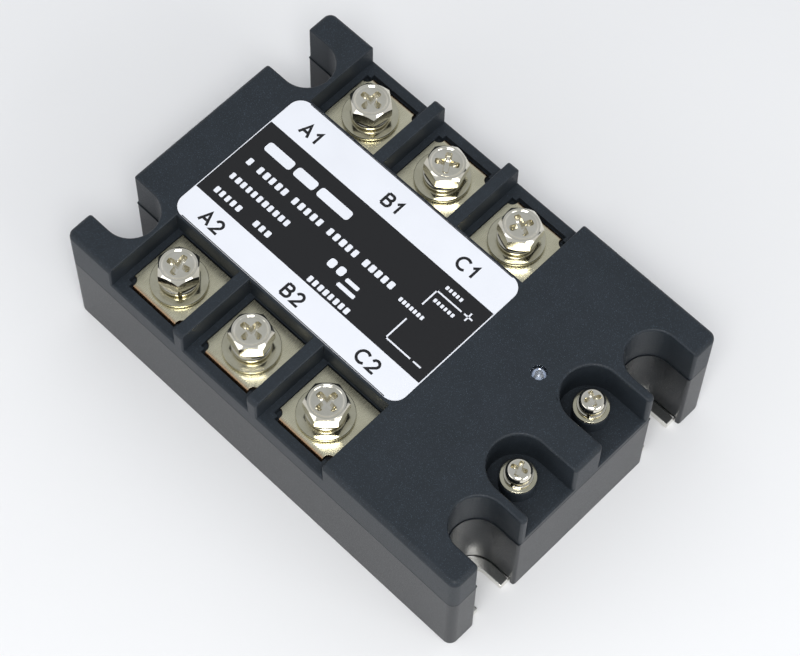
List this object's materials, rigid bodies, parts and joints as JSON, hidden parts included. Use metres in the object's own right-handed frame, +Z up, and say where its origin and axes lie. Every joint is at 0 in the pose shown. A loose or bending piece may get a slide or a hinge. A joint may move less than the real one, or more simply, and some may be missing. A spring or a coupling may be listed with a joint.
{
  "type": "solid state relay",
  "caption": "Panel-mount solid state relay: low charcoal moulded block on a metal base, with screw terminals in open side bays, small control screws at one end and open-ended corner slots.",
  "frame": {"origin": "middle of the underside, at the base's lower face", "axes": "+Z up; +X from the blank end towards the control screws, along the length; +Y towards terminals a1, b1 and c1"},
  "size_m": [0.105, 0.0728, 0.0312],
  "materials": {
    "lower_housing_plastic": "semi-matt moulded plastic, charcoal",
    "top_cover_plastic": "fine-textured moulded plastic, blue charcoal",
    "baseplate_nickel": "nickel-plated, satin",
    "terminal_nickel": "nickel-plated brass strip, satin",
    "screw_nickel": "nickel-plated steel, bright",
    "spring_washer_nickel": "nickel-plated spring steel, bright",
    "flat_washer_nickel": "nickel-plated steel, bright",
    "nut_zinc": "zinc-plated steel",
    "post_brass": "turned brass",
    "label_print": "printed polyester sheet, satin",
    "led_resin": "water-clear epoxy",
    "board_laminate": "glass-epoxy laminate, green solder mask",
    "white_epoxy": "moulded epoxy, white",
    "black_epoxy": "moulded epoxy, black",
    "alumina": "sintered alumina, white",
    "silicon": "silicon chip with a metallised face"
  },
  "bodies": {
    "root": {"lower_housing": "lower_housing_plastic", "top_cover": "top_cover_plastic", "baseplate": "baseplate_nickel", "label": "label_print", "status_led": "led_resin", "control_board": "board_laminate", "current_limiter": "black_epoxy", "ceramic_substrate_a": "alumina", "optocoupler_a": "white_epoxy", "ceramic_substrate_b": "alumina", "optocoupler_b": "white_epoxy", "ceramic_substrate_c": "alumina", "optocoupler_c": "white_epoxy", "terminal_a1": "terminal_nickel", "clamp_nut_a1": "nut_zinc", "thyristor_a1": "silicon", "terminal_b1": "terminal_nickel", "clamp_nut_b1": "nut_zinc", "thyristor_b1": "silicon", "terminal_c1": "terminal_nickel", "clamp_nut_c1": "nut_zinc", "thyristor_c1": "silicon", "terminal_a2": "terminal_nickel", "clamp_nut_a2": "nut_zinc", "thyristor_a2": "silicon", "terminal_b2": "terminal_nickel", "clamp_nut_b2": "nut_zinc", "thyristor_b2": "silicon", "terminal_c2": "terminal_nickel", "clamp_nut_c2": "nut_zinc", "thyristor_c2": "silicon", "control_post_plus": "post_brass", "control_post_minus": "post_brass"},
    "power_washers_a1": {"power_spring_washer_a1": "spring_washer_nickel", "power_flat_washer_a1": "flat_washer_nickel"},
    "power_screw_a1": {"power_screw_a1": "screw_nickel"},
    "power_washers_b1": {"power_spring_washer_b1": "spring_washer_nickel", "power_flat_washer_b1": "flat_washer_nickel"},
    "power_screw_b1": {"power_screw_b1": "screw_nickel"},
    "power_washers_c1": {"power_spring_washer_c1": "spring_washer_nickel", "power_flat_washer_c1": "flat_washer_nickel"},
    "power_screw_c1": {"power_screw_c1": "screw_nickel"},
    "power_washers_a2": {"power_spring_washer_a2": "spring_washer_nickel", "power_flat_washer_a2": "flat_washer_nickel"},
    "power_screw_a2": {"power_screw_a2": "screw_nickel"},
    "power_washers_b2": {"power_spring_washer_b2": "spring_washer_nickel", "power_flat_washer_b2": "flat_washer_nickel"},
    "power_screw_b2": {"power_screw_b2": "screw_nickel"},
    "power_washers_c2": {"power_spring_washer_c2": "spring_washer_nickel", "power_flat_washer_c2": "flat_washer_nickel"},
    "power_screw_c2": {"power_screw_c2": "screw_nickel"},
    "control_washers_plus": {"control_spring_washer_plus": "spring_washer_nickel", "control_flat_washer_plus": "flat_washer_nickel"},
    "control_screw_plus": {"control_screw_plus": "screw_nickel"},
    "control_washers_minus": {"control_spring_washer_minus": "spring_washer_nickel", "control_flat_washer_minus": "flat_washer_nickel"},
    "control_screw_minus": {"control_screw_minus": "screw_nickel"}
  },
  "joints": [
    {"name": "power_screw_a1_rise", "type": "slide", "parent": "root", "child": "power_washers_a1", "axis": [0, 0, 1], "range_m": [0, 0.004]},
    {"name": "power_screw_a1_turn", "type": "hinge", "parent": "power_washers_a1", "child": "power_screw_a1", "pos_m": [-0.03125, 0.02645, 0.0278], "axis": [0, 0, 1], "range_deg": [0, 1800]},
    {"name": "power_screw_b1_rise", "type": "slide", "parent": "root", "child": "power_washers_b1", "axis": [0, 0, 1], "range_m": [0, 0.004]},
    {"name": "power_screw_b1_turn", "type": "hinge", "parent": "power_washers_b1", "child": "power_screw_b1", "pos_m": [-0.01105, 0.02645, 0.0278], "axis": [0, 0, 1], "range_deg": [0, 1800]},
    {"name": "power_screw_c1_rise", "type": "slide", "parent": "root", "child": "power_washers_c1", "axis": [0, 0, 1], "range_m": [0, 0.004]},
    {"name": "power_screw_c1_turn", "type": "hinge", "parent": "power_washers_c1", "child": "power_screw_c1", "pos_m": [0.00915, 0.02645, 0.0278], "axis": [0, 0, 1], "range_deg": [0, 1800]},
    {"name": "power_screw_a2_rise", "type": "slide", "parent": "root", "child": "power_washers_a2", "axis": [0, 0, 1], "range_m": [0, 0.004]},
    {"name": "power_screw_a2_turn", "type": "hinge", "parent": "power_washers_a2", "child": "power_screw_a2", "pos_m": [-0.03125, -0.02645, 0.0278], "axis": [0, 0, 1], "range_deg": [0, 1800]},
    {"name": "power_screw_b2_rise", "type": "slide", "parent": "root", "child": "power_washers_b2", "axis": [0, 0, 1], "range_m": [0, 0.004]},
    {"name": "power_screw_b2_turn", "type": "hinge", "parent": "power_washers_b2", "child": "power_screw_b2", "pos_m": [-0.01105, -0.02645, 0.0278], "axis": [0, 0, 1], "range_deg": [0, 1800]},
    {"name": "power_screw_c2_rise", "type": "slide", "parent": "root", "child": "power_washers_c2", "axis": [0, 0, 1], "range_m": [0, 0.004]},
    {"name": "power_screw_c2_turn", "type": "hinge", "parent": "power_washers_c2", "child": "power_screw_c2", "pos_m": [0.00915, -0.02645, 0.0278], "axis": [0, 0, 1], "range_deg": [0, 1800]},
    {"name": "control_screw_plus_rise", "type": "slide", "parent": "root", "child": "control_washers_plus", "axis": [0, 0, 1], "range_m": [0, 0.0025]},
    {"name": "control_screw_plus_turn", "type": "hinge", "parent": "control_washers_plus", "child": "control_screw_plus", "pos_m": [0.044, 0.01015, 0.0276], "axis": [0, 0, 1], "range_deg": [0, 1800]},
    {"name": "control_screw_minus_rise", "type": "slide", "parent": "root", "child": "control_washers_minus", "axis": [0, 0, 1], "range_m": [0, 0.0025]},
    {"name": "control_screw_minus_turn", "type": "hinge", "parent": "control_washers_minus", "child": "control_screw_minus", "pos_m": [0.044, -0.01015, 0.0276], "axis": [0, 0, 1], "range_deg": [0, 1800]}
  ],
  "couplings": [
    {"joint": "power_screw_a1_turn", "follows": "power_screw_a1_rise", "rad_per_m": 7853.9},
    {"joint": "power_screw_b1_turn", "follows": "power_screw_b1_rise", "rad_per_m": 7853.9},
    {"joint": "power_screw_c1_turn", "follows": "power_screw_c1_rise", "rad_per_m": 7853.9},
    {"joint": "power_screw_a2_turn", "follows": "power_screw_a2_rise", "rad_per_m": 7853.9},
    {"joint": "power_screw_b2_turn", "follows": "power_screw_b2_rise", "rad_per_m": 7853.9},
    {"joint": "power_screw_c2_turn", "follows": "power_screw_c2_rise", "rad_per_m": 7853.9},
    {"joint": "control_screw_plus_turn", "follows": "control_screw_plus_rise", "rad_per_m": 12566},
    {"joint": "control_screw_minus_turn", "follows": "control_screw_minus_rise", "rad_per_m": 12566}
  ]
}
